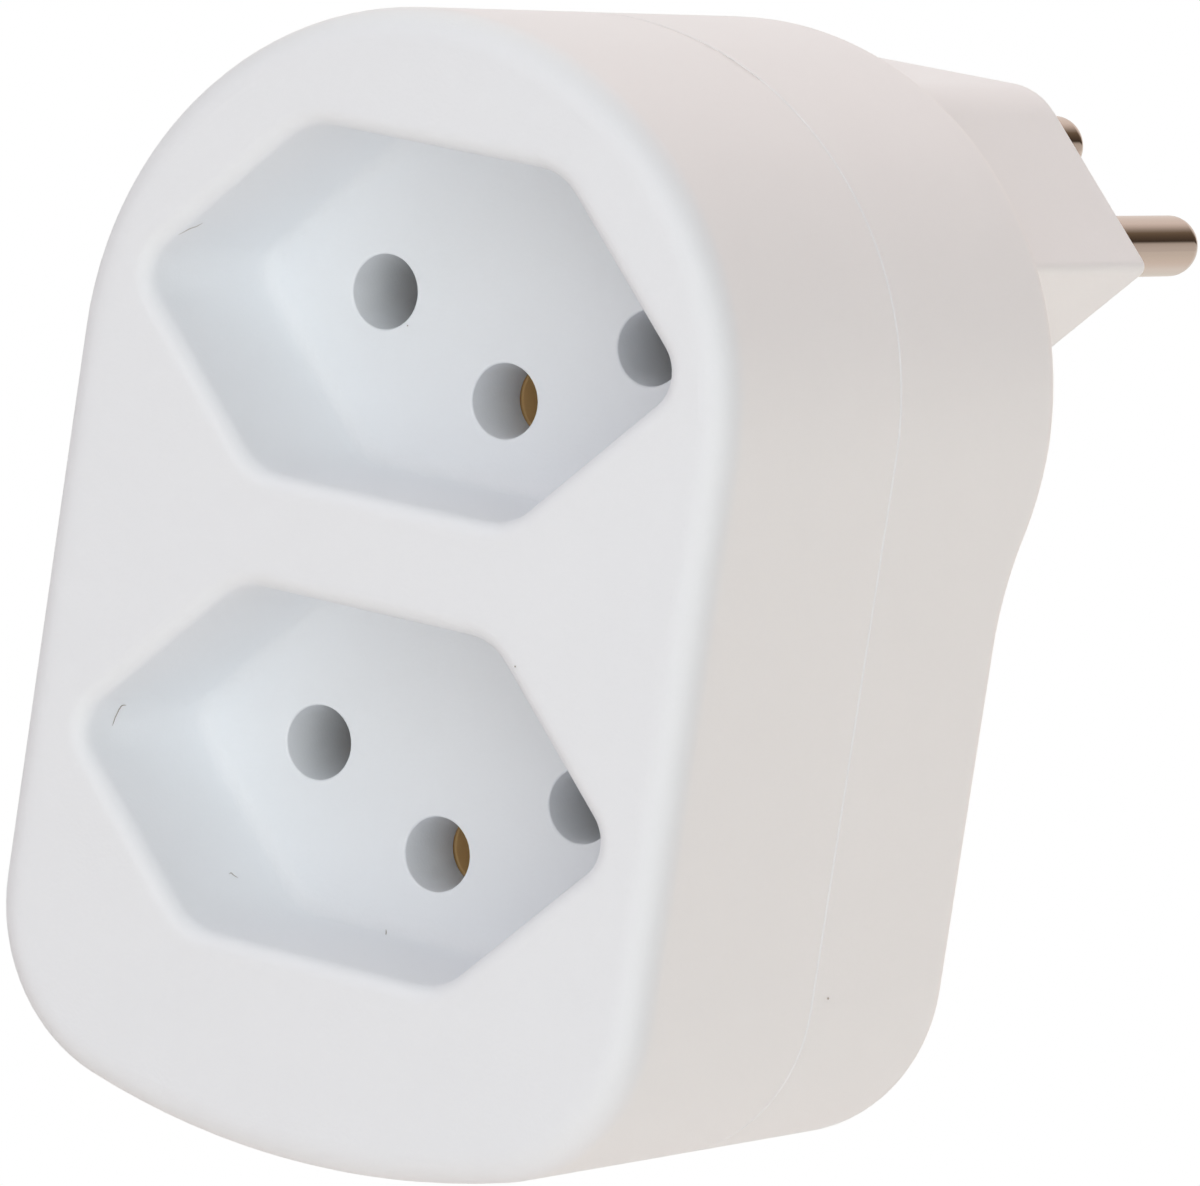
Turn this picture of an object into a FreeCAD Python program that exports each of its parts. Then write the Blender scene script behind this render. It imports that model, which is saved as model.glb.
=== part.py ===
"""Two-way socket adapter: a three-pin plug at the back feeds two recessed sockets in front.

The case is modelled with the middle of its front face's upper socket at X 0, Z 0 and the front
face at Y 0. The sockets face -Y and the plug points along +Y. Every finished piece is then placed
so that the origin is the middle of the plug's end face, between its two live pins.
"""
import FreeCAD, Part
import Sketcher
import math
import os

Vector = FreeCAD.Vector

SIZES = {
    # outline of the case, seen from the front: flat margins round the recesses, and its curves
    "sideMargin": 3.76, "topMargin": 8.02, "baseMargin": 12.52,
    "baseRadius": 55.0, "bottomCornerRadius": 11.2,
    # depth of the case, front face at zero
    "coverDepth": 20.8, "lowBackDepth": 38.3, "backStep": 3.2, "backBendRadius": 14.0,
    "backBendStart": 16.8, "frontRound": 2.0, "backRound": 1.8, "seamBevel": 0.1,
    "wall": 2.2, "fitGap": 0.1,
    # socket recesses
    "socketPitch": 28.0, "recessDepth": 13.0, "recessHalfHeight": 10.58, "recessSlantReach": 13.78,
    "slantAngle": 45.9, "recessCorner": 4.0, "recessPoint": 2.4, "recessDraft": 0.8,
    "rimRound": 1.1, "floorRound": 0.9, "cupWall": 1.8, "floorWall": 2.2,
    # pin holes and the guide tubes behind them
    "pinSpacing": 19.0, "earthOffset": 5.0, "holeRadius": 2.3, "tubeWall": 1.3,
    "liveHoleLength": 8.0, "earthHoleLength": 5.6, "holeEdgeRound": 0.15,
    # plug
    "plugRise": 5.8, "plugEnd": 61.0, "plugHalfHeight": 10.0, "plugSlantReach": 12.42,
    "plugCorner": 4.5, "plugPoint": 0.7, "plugEndRound": 0.35, "plugWall": 1.8, "endWall": 2.5,
    "pinRadius": 2.0, "pinLength": 19.0, "pinTipRound": 1.7,
    "pinSeatRadius": 2.2, "pinSeatProud": 0.3, "collarRadius": 3.0, "collarLength": 1.5,
    "tailRadius": 1.2, "tailHeadRadius": 1.6, "tailHeadLength": 0.7,
    # busbars
    "barRest": 1.6, "barThick": 0.8, "barWidth": 5.0, "barEnd": 3.4, "tongueWidth": 3.6,
    "tongueOffset": 2.5, "barBend": 0.5, "footReach": 2.4,
    # spring contacts and their rivets
    "contactBore": 2.1, "contactSheet": 0.5, "contactSlot": 1.7, "contactRoot": 1.6, "mouthGap": 0.5,
    "mouthFlare": 0.3, "mouthLength": 1.2,
    "rivetRadius": 0.9, "rivetHeadRadius": 1.6, "rivetHeadLength": 0.6, "rivetTailRadius": 1.4,
    "rivetTailLength": 0.5, "rivetPlay": 0.05,
    # housing screws
    "screwInset": 5.95, "screwDrop": 14.0, "seatBehindSeam": 5.2, "seatWall": 2.0, "screwRadius": 1.2,
    "screwHole": 1.6, "screwLength": 14.0, "headRadius": 2.6, "headHeight": 1.9, "headSink": 3.0,
    "towerWall": 1.0, "bossWall": 2.0, "crossWidth": 0.8, "crossReach": 1.5, "crossDepth": 1.1,
    # lip of the cover and ribs
    "lipInset": 1.2, "lipLength": 2.0, "ribThick": 1.2, "partitionReach": 4.75, "partitionLap": 2.7,
    "blade": 1.6, "restDrop": 10.0,
    # carrier behind the plug's pins
    "carrierLength": 6.0,
}

doc = FreeCAD.newDocument("socket_adapter")
sheet = doc.addObject("Spreadsheet::Sheet", "Size")
for row, (alias, size) in enumerate(SIZES.items(), start=1):
    sheet.set(f"A{row}", alias)
    sheet.set(f"B{row}", str(size))
    sheet.setAlias(f"B{row}", alias)
doc.recompute()

# Derived places, each an expression of the sheet's sizes
HALF_WIDTH = "(Size.recessSlantReach / sin(Size.slantAngle) + Size.sideMargin)"
CROWN_CENTRE = f"(Size.recessHalfHeight + Size.topMargin - {HALF_WIDTH})"
BASE = "(Size.socketPitch + Size.recessHalfHeight + Size.baseMargin)"
LIVE_X = "Size.pinSpacing / 2"
FLOOR_BACK = "(Size.recessDepth + Size.floorWall)"
LIVE_END = "(Size.recessDepth + Size.liveHoleLength)"
EARTH_END = "(Size.recessDepth + Size.earthHoleLength)"
HIGH_BACK = "(Size.lowBackDepth + Size.backStep)"
LOW_FLOOR = "(Size.lowBackDepth - Size.wall)"
HIGH_FLOOR = f"({HIGH_BACK} - Size.wall)"
BAR_BACK = f"({LOW_FLOOR} - Size.barRest)"
BAR_FRONT = f"({BAR_BACK} - Size.barThick)"
NOSE_FLOOR = "(Size.plugEnd - Size.endWall)"
COLLAR_BACK = "(Size.plugEnd - Size.endWall - Size.collarLength)"
FOOT_FRONT = "(Size.plugEnd - Size.endWall - Size.collarLength - Size.barThick)"
EARTH_PIN_Z = "(Size.plugRise + Size.earthOffset)"
PARTITION_TOP = f"({BAR_FRONT} - Size.partitionLap)"
TUBE_RADIUS = "(Size.holeRadius + Size.tubeWall)"
SCREW_X = f"({HALF_WIDTH} - Size.screwInset)"
SCREW_SEAT = "(Size.coverDepth + Size.seatBehindSeam)"
BOSS_TOP = f"({SCREW_SEAT} - Size.seatWall - Size.fitGap)"
BOSS_RADIUS = "(Size.screwRadius + Size.bossWall)"
TOWER_RADIUS = "(Size.headSink + Size.towerWall)"


def number(text):
    """Value of an expression of the sheet's sizes."""
    return float(sheet.evalExpression(text))


def new_body(label):
    body = doc.addObject("PartDesign::Body", label)
    body.Label = label
    return body


def sketch(body, name, role="XZ_Plane", depth=None):
    """Empty sketch on one of the body's origin planes, moved along Y to a depth on the XZ plane."""
    drawing = body.newObject("Sketcher::SketchObject", name)
    plane = [item for item in body.Origin.OriginFeatures if item.Role == role][0]
    drawing.AttachmentSupport = [(plane, "")]
    drawing.MapMode = "FlatFace"
    if depth is not None:
        drawing.setExpression("AttachmentOffset.Base.z", f"-({depth})")
    return drawing


def hold(drawing, kind, *parts, text=None):
    """Adds a constraint, and binds its size to an expression when one is given."""
    if text is None:
        drawing.addConstraint(Sketcher.Constraint(kind, *parts))
        return
    size = number(text)
    if kind == "Angle":
        size = math.radians(size)
    index = drawing.addConstraint(Sketcher.Constraint(kind, *parts, size))
    if "Size." in text:
        drawing.setExpression(f"Constraints[{index}]", text)


def locate(drawing, geometry, end, x_text, y_text):
    """Fixes a point of the drawing at a place measured from the body's origin."""
    hold(drawing, "DistanceX", -1, 1, geometry, end, text=x_text)
    hold(drawing, "DistanceY", -1, 1, geometry, end, text=y_text)


def circle(drawing, x_text, y_text, radius_text):
    centre = Vector(number(x_text), number(y_text), 0)
    ring = drawing.addGeometry(Part.Circle(centre, Vector(0, 0, 1), number(radius_text)), False)
    locate(drawing, ring, 3, x_text, y_text)
    hold(drawing, "Radius", ring, text=radius_text)


def arc(drawing, centre, radius, start, end):
    ring = Part.Circle(Vector(centre[0], centre[1], 0), Vector(0, 0, 1), radius)
    return drawing.addGeometry(Part.ArcOfCircle(ring, start, end), False)


def line(drawing, start, end):
    return drawing.addGeometry(Part.LineSegment(Vector(*start, 0), Vector(*end, 0)), False)


def square_profile(drawing, corners, rounds=None):
    """Closed outline of lines along the two axes, with some of its corners rounded.

    Each corner is a pair of expressions, and neighbours share one of the two. Where they share
    neither, the line slants, and its ends get the coordinate that the lines beside it leave free.
    """
    rounds = rounds or {}
    points = [Vector(number(x), number(y), 0) for x, y in corners]
    count = len(points)
    starts, ends = [], []
    for here in range(count):
        along = (points[(here + 1) % count] - points[here]).normalize()
        trim_start = number(rounds[here]) if here in rounds else 0
        trim_end = number(rounds[(here + 1) % count]) if (here + 1) % count in rounds else 0
        starts.append(points[here] + along * trim_start)
        ends.append(points[(here + 1) % count] - along * trim_end)
    lines = []
    for here in range(count):
        edge = line(drawing, (starts[here].x, starts[here].y), (ends[here].x, ends[here].y))
        lines.append(edge)
        if slants(corners, here):
            continue
        upright = is_upright(corners, here)
        hold(drawing, "Vertical" if upright else "Horizontal", edge)
        axis = "DistanceX" if upright else "DistanceY"
        hold(drawing, axis, -1, 1, edge, 1, text=corners[here][0 if upright else 1])
    for here in range(count):
        before, after = lines[here - 1], lines[here]
        if here not in rounds:
            hold(drawing, "Coincident", before, 2, after, 1)
            continue
        inward = (ends[here - 1] - points[here]) + (starts[here] - points[here])
        centre = points[here] + inward
        first, last = ends[here - 1] - centre, starts[here] - centre
        turns_left = first.x * last.y - first.y * last.x > 0
        low, high = (first, last) if turns_left else (last, first)
        angles = [math.atan2(low.y, low.x), math.atan2(high.y, high.x)]
        if angles[1] < angles[0]:
            angles[1] += 2 * math.pi
        bend = arc(drawing, (centre.x, centre.y), number(rounds[here]), *angles)
        hold(drawing, "Tangent", before, 2, bend, 1 if turns_left else 2)
        hold(drawing, "Tangent", bend, 2 if turns_left else 1, after, 1)
        hold(drawing, "Radius", bend, text=rounds[here])
    for here in range(count):
        if slants(corners, here):
            hold_slant(drawing, lines[here], corners, here)


def is_upright(corners, here):
    """Whether the line from this corner to the next one runs along the drawing's Y axis."""
    return corners[here % len(corners)][0] == corners[(here + 1) % len(corners)][0]


def slants(corners, here):
    """Whether the line from this corner to the next one runs along neither axis."""
    level = corners[here][1] == corners[(here + 1) % len(corners)][1]
    return not level and not is_upright(corners, here)


def hold_slant(drawing, edge, corners, here):
    """Fixes at each end of a slanting line the coordinate that its neighbour there leaves free."""
    following = (here + 1) % len(corners)
    for end, corner, neighbour in ((1, here, here - 1), (2, following, following)):
        free = 1 if is_upright(corners, neighbour) else 0
        axis = "DistanceY" if free else "DistanceX"
        hold(drawing, axis, -1, 1, edge, end, text=corners[corner][free])


def rectangle(drawing, left, right, low, high):
    square_profile(drawing, [(left, low), (right, low), (right, high), (left, high)])


def case_outline(drawing, inset="0", cut=None):
    """Round crown, two sides, two corners and a gently curved base, or only what is above a cut.

    An inset moves the whole outline inwards, with the centres of its arcs where they were.
    """
    half = number(f"{HALF_WIDTH} - ({inset})")
    crown_z = number(CROWN_CENTRE)
    top = arc(drawing, (0, crown_z), half, 0, math.pi)
    if cut is None:
        low = number(f"Size.bottomCornerRadius - ({inset})")
        base = number(f"Size.baseRadius - ({inset})")
        base_centre = number(f"Size.baseRadius - {BASE}")
        side_end = base_centre - math.sqrt((base - low) ** 2 - (half - low) ** 2)
        swing = math.atan2(side_end - base_centre, half - low)
    else:
        side_end = number(cut)
    left_side = line(drawing, (-half, crown_z), (-half, side_end))
    right_side = line(drawing, (half, side_end), (half, crown_z))
    hold(drawing, "Tangent", right_side, 2, top, 1)
    hold(drawing, "Tangent", top, 2, left_side, 1)
    hold(drawing, "Vertical", left_side)
    hold(drawing, "Vertical", right_side)
    locate(drawing, top, 3, "0", CROWN_CENTRE)
    hold(drawing, "Radius", top, text=f"{HALF_WIDTH} - ({inset})")
    if cut is not None:
        floor = line(drawing, (-half, side_end), (half, side_end))
        hold(drawing, "Coincident", left_side, 2, floor, 1)
        hold(drawing, "Coincident", floor, 2, right_side, 1)
        hold(drawing, "Horizontal", floor)
        hold(drawing, "DistanceY", -1, 1, floor, 1, text=cut)
        return
    low_left = arc(drawing, (low - half, side_end), low, math.pi, math.pi - swing)
    bottom = arc(drawing, (0, base_centre), base, math.pi - swing, 2 * math.pi + swing)
    low_right = arc(drawing, (half - low, side_end), low, 2 * math.pi + swing, 2 * math.pi)
    hold(drawing, "Tangent", left_side, 2, low_left, 1)
    hold(drawing, "Tangent", low_left, 2, bottom, 1)
    hold(drawing, "Tangent", bottom, 2, low_right, 1)
    hold(drawing, "Tangent", low_right, 2, right_side, 1)
    locate(drawing, bottom, 3, "0", f"Size.baseRadius - {BASE}")
    hold(drawing, "Radius", bottom, text=f"Size.baseRadius - ({inset})")
    for bend in (low_left, low_right):
        hold(drawing, "Radius", bend, text=f"Size.bottomCornerRadius - ({inset})")


def hexagon(drawing, centre_z, half_height, slant_reach, corner, point):
    """Long hexagon with two flats and four slants, its corners rounded.

    The slants are placed by their distance from the middle, so a wall round the hexagon adds the
    same thickness to every one of the six flats.
    """
    middle = number(centre_z)
    angle = math.radians(number("Size.slantAngle"))
    reaches = [number(half_height) if side in (1, 4) else number(slant_reach) for side in range(6)]
    headings = [math.pi / 2 - angle, math.pi / 2, math.pi / 2 + angle]
    headings += [heading + math.pi for heading in headings]
    radii = [corner, corner, point, corner, corner, point]
    normals = [Vector(math.cos(heading), math.sin(heading), 0) for heading in headings]
    centres = []
    for side in range(6):
        one, two = normals[side], normals[(side + 1) % 6]
        first = reaches[side] - number(radii[side])
        second = reaches[(side + 1) % 6] - number(radii[side])
        cross = one.x * two.y - one.y * two.x
        centres.append(Vector((first * two.y - second * one.y) / cross,
                              (second * one.x - first * two.x) / cross + middle, 0))
    flats, bends = [], []
    for side in range(6):
        start = centres[side - 1] + normals[side] * number(radii[side - 1])
        end = centres[side] + normals[side] * number(radii[side])
        flats.append(line(drawing, (start.x, start.y), (end.x, end.y)))
    for side in range(6):
        start = headings[side]
        end = headings[(side + 1) % 6] + (2 * math.pi if side == 5 else 0)
        spot = centres[side]
        bends.append(arc(drawing, (spot.x, spot.y), number(radii[side]), start, end))
    hub = drawing.addGeometry(Part.Point(Vector(0, middle, 0)), True)
    locate(drawing, hub, 1, "0", centre_z)
    for side in range(6):
        hold(drawing, "Tangent", flats[side], 2, bends[side], 1)
        hold(drawing, "Tangent", bends[side], 2, flats[(side + 1) % 6], 1)
        hold(drawing, "Radius", bends[side], text=radii[side])
        reach = half_height if side in (1, 4) else slant_reach
        hold(drawing, "Distance", hub, 1, flats[side], text=reach)
    hold(drawing, "Horizontal", flats[1])
    hold(drawing, "Horizontal", flats[4])
    hold(drawing, "Angle", flats[0], text="180 - Size.slantAngle")
    hold(drawing, "Angle", flats[2], text="180 + Size.slantAngle")
    hold(drawing, "Parallel", flats[0], flats[3])
    hold(drawing, "Parallel", flats[2], flats[5])


def extrude(body, kind, drawing, name, length, towards="+Y", draft=None):
    """Pad or Pocket of a drawing on the XZ plane, towards +Y or -Y, checked by volume."""
    before = body.Shape.Volume if not body.Shape.isNull() else 0
    feature = body.newObject(f"PartDesign::{kind}", name)
    feature.Profile = drawing
    feature.setExpression("Length", length)
    feature.Reversed = (towards == "+Y") == (kind == "Pad")
    if draft is not None:
        feature.setExpression("TaperAngle", draft)
    drawing.Visibility = False
    doc.recompute()
    change = body.Shape.Volume - before
    if (change <= 0) if kind == "Pad" else (change >= 0):
        raise RuntimeError(f"{body.Label}: {name} changed the volume by {change:.3f}")
    return feature


def pad_across(body, drawing, name, width):
    """Pad of a drawing on the YZ plane, half to each side."""
    feature = body.newObject("PartDesign::Pad", name)
    feature.Profile = drawing
    feature.setExpression("Length", width)
    feature.Midplane = True
    doc.recompute()
    return feature


def revolve(body, drawing, name):
    """Full turn of a drawing on the XY plane about the Y axis."""
    feature = body.newObject("PartDesign::Revolution", name)
    feature.Profile = drawing
    feature.ReferenceAxis = (drawing, ["V_Axis"])
    feature.Angle = 360
    doc.recompute()
    return feature


def soften(body, kind, name, size_text, chosen):
    """Fillet or Chamfer of the edges of the body that a test picks."""
    base = body.Tip
    edges = [f"Edge{index}" for index, edge in enumerate(base.Shape.Edges, start=1) if chosen(edge)]
    if not edges:
        raise RuntimeError(f"{body.Label}: {name} found no edge")
    feature = body.newObject(f"PartDesign::{kind}", name)
    feature.Base = (base, edges)
    feature.setExpression("Radius" if kind == "Fillet" else "Size", size_text)
    doc.recompute()
    return feature


def lies_at(edge, depth, slack=0.01):
    """Whether the whole edge lies in the plane at this depth."""
    box = edge.BoundBox
    return abs(box.YMin - depth) < slack and abs(box.YMax - depth) < slack


def socket_levels():
    """Z of the upper and the lower socket's middle."""
    return {"upper": "0", "lower": "-Size.socketPitch"}


def pin_holes(drawing, radius, which=("live", "earth")):
    """Circles at the pin holes of both sockets."""
    for level in socket_levels().values():
        if "live" in which:
            circle(drawing, f"-{LIVE_X}", level, radius)
            circle(drawing, LIVE_X, level, radius)
        if "earth" in which:
            circle(drawing, "0", f"{level} - Size.earthOffset", radius)


def recess_hexagons(drawing, grown="0"):
    for level in socket_levels().values():
        hexagon(drawing, level, f"Size.recessHalfHeight + {grown}", f"Size.recessSlantReach + {grown}",
                f"Size.recessCorner + {grown}", f"Size.recessPoint + {grown}")


def make_front_cover():
    """Front shell: face plate, two hexagonal cups, guide tubes, lip, screw bosses and blades."""
    body = new_body("front_cover")
    outer = sketch(body, "cover_outline", depth="0")
    case_outline(outer)
    extrude(body, "Pad", outer, "cover_block", "Size.coverDepth")
    soften(body, "Fillet", "front_round", "Size.frontRound", lambda edge: lies_at(edge, 0))
    seam = number("Size.coverDepth")
    soften(body, "Chamfer", "seam_bevel", "Size.seamBevel", lambda edge: lies_at(edge, seam))

    inner = sketch(body, "cover_hollow", depth="Size.coverDepth")
    case_outline(inner, "Size.wall")
    extrude(body, "Pocket", inner, "hollow", "Size.coverDepth - Size.wall", "-Y")

    cups = sketch(body, "cup_walls", depth=FLOOR_BACK)
    recess_hexagons(cups, "Size.cupWall")
    extrude(body, "Pad", cups, "cups", f"{FLOOR_BACK} - Size.wall / 2", "-Y")

    live_tubes = sketch(body, "live_tube_rings", depth=LIVE_END)
    pin_holes(live_tubes, TUBE_RADIUS, ("live",))
    extrude(body, "Pad", live_tubes, "live_tubes", "Size.liveHoleLength - Size.floorWall / 2", "-Y")
    earth_tubes = sketch(body, "earth_tube_rings", depth=EARTH_END)
    pin_holes(earth_tubes, TUBE_RADIUS, ("earth",))
    extrude(body, "Pad", earth_tubes, "earth_tubes", "Size.earthHoleLength - Size.floorWall / 2", "-Y")

    recesses = sketch(body, "recess_mouths", depth="0")
    recess_hexagons(recesses)
    extrude(body, "Pocket", recesses, "recesses", "Size.recessDepth", draft="-Size.recessDraft")
    floor = number("Size.recessDepth")
    soften(body, "Fillet", "floor_round", "Size.floorRound", lambda edge: lies_at(edge, floor))
    reach = number(f"{HALF_WIDTH} - Size.frontRound") - 0.5
    soften(body, "Fillet", "rim_round", "Size.rimRound",
           lambda edge: lies_at(edge, 0) and inside_outline(edge, reach))

    holes = sketch(body, "pin_hole_rings", depth="0")
    pin_holes(holes, "Size.holeRadius")
    extrude(body, "Pocket", holes, "pin_holes", f"{LIVE_END} + 1")
    soften(body, "Fillet", "hole_edge_round", "Size.holeEdgeRound",
           lambda edge: lies_at(edge, floor) and is_pin_hole(edge))

    lip = sketch(body, "lip_ring", depth="Size.coverDepth + Size.lipLength")
    case_outline(lip, "Size.lipInset")
    case_outline(lip, "Size.wall")
    extrude(body, "Pad", lip, "lip", "Size.lipLength + Size.wall", "-Y")

    bosses = sketch(body, "boss_rings", depth=BOSS_TOP)
    for side in ("-", ""):
        circle(bosses, f"{side}{SCREW_X}", "-Size.screwDrop", BOSS_RADIUS)
    extrude(body, "Pad", bosses, "screw_bosses", f"{BOSS_TOP} - Size.wall / 2", "-Y")
    pilots = sketch(body, "pilot_rings", depth=BOSS_TOP)
    for side in ("-", ""):
        circle(pilots, f"{side}{SCREW_X}", "-Size.screwDrop", "Size.screwRadius + Size.rivetPlay")
    extrude(body, "Pocket", pilots, "pilot_holes", "Size.screwLength", "-Y")

    blades = sketch(body, "blade_feet", depth=f"{BAR_FRONT} - Size.fitGap")
    for x_text in (f"-{LIVE_X}", "0", LIVE_X):
        rectangle(blades, f"{x_text} - Size.barWidth / 2 + Size.ribThick / 2",
                  f"{x_text} + Size.barWidth / 2 - Size.ribThick / 2",
                  "-Size.screwDrop - Size.blade / 2", "-Size.screwDrop + Size.blade / 2")
    extrude(body, "Pad", blades, "hold_down_blades", f"{BAR_FRONT} - Size.fitGap - Size.wall / 2", "-Y")
    return body


def is_pin_hole(edge):
    """Whether an edge is the full circle of a pin hole."""
    circular = isinstance(edge.Curve, Part.Circle)
    return circular and abs(edge.Curve.Radius - number("Size.holeRadius")) < 0.01


def inside_outline(edge, reach):
    """Whether an edge of the front face belongs to a recess, not to the rim of the case."""
    box = edge.BoundBox
    level = number("Size.recessHalfHeight") + 0.5
    pitch = number("Size.socketPitch")
    middle_z = (box.ZMin + box.ZMax) / 2
    near = min(abs(middle_z), abs(middle_z + pitch)) < level
    return near and max(abs(box.XMin), abs(box.XMax)) < reach


def make_rear_housing():
    """Rear shell: stepped back with the hexagonal plug, screw wells, partitions and bar rests."""
    body = new_body("rear_housing")
    outer = sketch(body, "housing_outline", depth="Size.coverDepth")
    case_outline(outer)
    extrude(body, "Pad", outer, "housing_block", f"{HIGH_BACK} - Size.coverDepth")
    seam = number("Size.coverDepth")
    soften(body, "Chamfer", "seam_bevel", "Size.seamBevel", lambda edge: lies_at(edge, seam))
    cut_back_step(body)
    lowest = number("Size.lowBackDepth") - 0.05
    soften(body, "Fillet", "back_round", "Size.backRound", lambda edge: on_back_rim(edge, lowest))

    nose = sketch(body, "nose_outline", depth="Size.plugEnd")
    hexagon(nose, "Size.plugRise", "Size.plugHalfHeight", "Size.plugSlantReach", "Size.plugCorner",
            "Size.plugPoint")
    extrude(body, "Pad", nose, "nose", f"Size.plugEnd - {HIGH_BACK} + Size.wall", "-Y")
    end = number("Size.plugEnd")
    soften(body, "Fillet", "nose_round", "Size.plugEndRound", lambda edge: lies_at(edge, end))

    low = sketch(body, "low_hollow_outline", depth="Size.coverDepth")
    case_outline(low, "Size.wall")
    extrude(body, "Pocket", low, "low_hollow", f"{LOW_FLOOR} - Size.coverDepth")
    high = sketch(body, "high_hollow_outline", depth=LOW_FLOOR)
    case_outline(high, "Size.wall + Size.fitGap", cut="Size.wall - Size.backBendStart / 2")
    extrude(body, "Pocket", high, "high_hollow", f"{HIGH_FLOOR} - {LOW_FLOOR}")
    core = sketch(body, "nose_hollow_outline", depth=LOW_FLOOR)
    hexagon(core, "Size.plugRise", "Size.plugHalfHeight - Size.plugWall",
            "Size.plugSlantReach - Size.plugWall", "Size.plugCorner - Size.plugWall", "Size.plugPoint")
    extrude(body, "Pocket", core, "nose_hollow", f"{NOSE_FLOOR} - {LOW_FLOOR}")
    rebate = sketch(body, "rebate_outline", depth="Size.coverDepth")
    case_outline(rebate, "Size.lipInset - Size.fitGap")
    extrude(body, "Pocket", rebate, "lip_rebate", "Size.lipLength + Size.fitGap")

    pins = sketch(body, "pin_passages", depth=NOSE_FLOOR)
    for x_text, z_text in plug_pins().values():
        circle(pins, x_text, z_text, "Size.pinSeatRadius + Size.rivetPlay")
    extrude(body, "Pocket", pins, "pin_passages_cut", "Size.endWall + 1")
    make_screw_wells(body)
    make_bar_supports(body)
    return body


def cut_back_step(body):
    """The lower back stands less deep, and an S of two arcs joins it to the upper back."""
    step = number("Size.backStep")
    radius = number("Size.backBendRadius")
    turn = math.acos(1 - step / (2 * radius))
    low, high = number("Size.lowBackDepth"), number(HIGH_BACK)
    start = -number("Size.backBendStart")
    finish = start + 2 * radius * math.sin(turn)
    clear_y = high + 2
    clear_z = -number(BASE) - 2
    side = sketch(body, "back_step", role="YZ_Plane")
    lower = line(side, (low, clear_z), (low, start))
    hollow = arc(side, (low + radius, start), radius, math.pi - turn, math.pi)
    crown = arc(side, (high - radius, finish), radius, -turn, 0)
    ledge = line(side, (high, finish), (clear_y, finish))
    outer = line(side, (clear_y, finish), (clear_y, clear_z))
    under = line(side, (clear_y, clear_z), (low, clear_z))
    hold(side, "Tangent", lower, 2, hollow, 2)
    hold(side, "Tangent", hollow, 1, crown, 1)
    hold(side, "Coincident", crown, 2, ledge, 1)
    hold(side, "Horizontal", crown, 3, crown, 2)
    hold(side, "Coincident", ledge, 2, outer, 1)
    hold(side, "Coincident", outer, 2, under, 1)
    hold(side, "Coincident", under, 2, lower, 1)
    hold(side, "Vertical", lower)
    hold(side, "Vertical", outer)
    hold(side, "Horizontal", ledge)
    hold(side, "Horizontal", under)
    hold(side, "Radius", hollow, text="Size.backBendRadius")
    hold(side, "Radius", crown, text="Size.backBendRadius")
    locate(side, lower, 2, "Size.lowBackDepth", "-Size.backBendStart")
    hold(side, "DistanceX", -1, 1, ledge, 1, text=HIGH_BACK)
    hold(side, "DistanceX", -1, 1, outer, 1, text=f"{HIGH_BACK} + 2")
    hold(side, "DistanceY", -1, 1, under, 1, text=f"-{BASE} - 2")
    before = body.Shape.Volume
    feature = body.newObject("PartDesign::Pocket", "back_step_cut")
    feature.Profile = side
    feature.Midplane = True
    feature.setExpression("Length", f"{HALF_WIDTH} * 2 + 4")
    doc.recompute()
    if body.Shape.Volume >= before:
        raise RuntimeError("rear_housing: the step of the back cut nothing")


def on_back_rim(edge, lowest):
    """Whether an edge runs round the back of the case, where back and side wall meet."""
    box = edge.BoundBox
    if box.YMin < lowest:
        return False
    across = box.XLength > number(HALF_WIDTH) and box.ZLength < 0.01 and box.YLength < 0.01
    return not across


def make_screw_wells(body):
    """Two towers from the seat of each screw to the back, bored from behind for its head."""
    towers = sketch(body, "tower_rings", depth=f"{SCREW_SEAT} - Size.seatWall")
    wells = sketch(body, "well_rings", depth=SCREW_SEAT)
    passages = sketch(body, "screw_passages", depth=f"{SCREW_SEAT} - Size.seatWall")
    for side in ("-", ""):
        circle(towers, f"{side}{SCREW_X}", "-Size.screwDrop", TOWER_RADIUS)
        circle(wells, f"{side}{SCREW_X}", "-Size.screwDrop", "Size.headSink")
        circle(passages, f"{side}{SCREW_X}", "-Size.screwDrop", "Size.screwHole")
    extrude(body, "Pad", towers, "screw_towers",
            f"{LOW_FLOOR} - {SCREW_SEAT} + Size.seatWall + Size.wall / 2")
    extrude(body, "Pocket", wells, "screw_wells", f"{HIGH_BACK} - {SCREW_SEAT} + 1")
    extrude(body, "Pocket", passages, "screw_passages_cut", "Size.seatWall + 1")


def make_bar_supports(body):
    """Two upright partitions between the busbars, and two level rests that carry the bars."""
    walls = sketch(body, "partition_lines", depth=PARTITION_TOP)
    for side in ("-", ""):
        rectangle(walls, f"{side}Size.partitionReach - Size.ribThick / 2",
                  f"{side}Size.partitionReach + Size.ribThick / 2",
                  "-Size.socketPitch - Size.recessHalfHeight", "Size.plugRise - Size.plugHalfHeight")
    extrude(body, "Pad", walls, "partitions", f"{LOW_FLOOR} - {PARTITION_TOP} + Size.wall / 2")
    rests = sketch(body, "rest_lines", depth=BAR_BACK)
    rest_reach = f"{LIVE_X} + Size.barWidth / 2"
    for level in ("-Size.screwDrop", "-Size.screwDrop - Size.restDrop"):
        rectangle(rests, f"-({rest_reach})", rest_reach, f"{level} - Size.ribThick / 2",
                  f"{level} + Size.ribThick / 2")
    extrude(body, "Pad", rests, "bar_rests", f"{LOW_FLOOR} - {BAR_BACK} + Size.wall / 2")


def plug_pins():
    """X and Z of each pin of the plug."""
    return {"line": (f"-{LIVE_X}", "Size.plugRise"), "neutral": (LIVE_X, "Size.plugRise"),
            "earth": ("0", EARTH_PIN_Z)}


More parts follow.
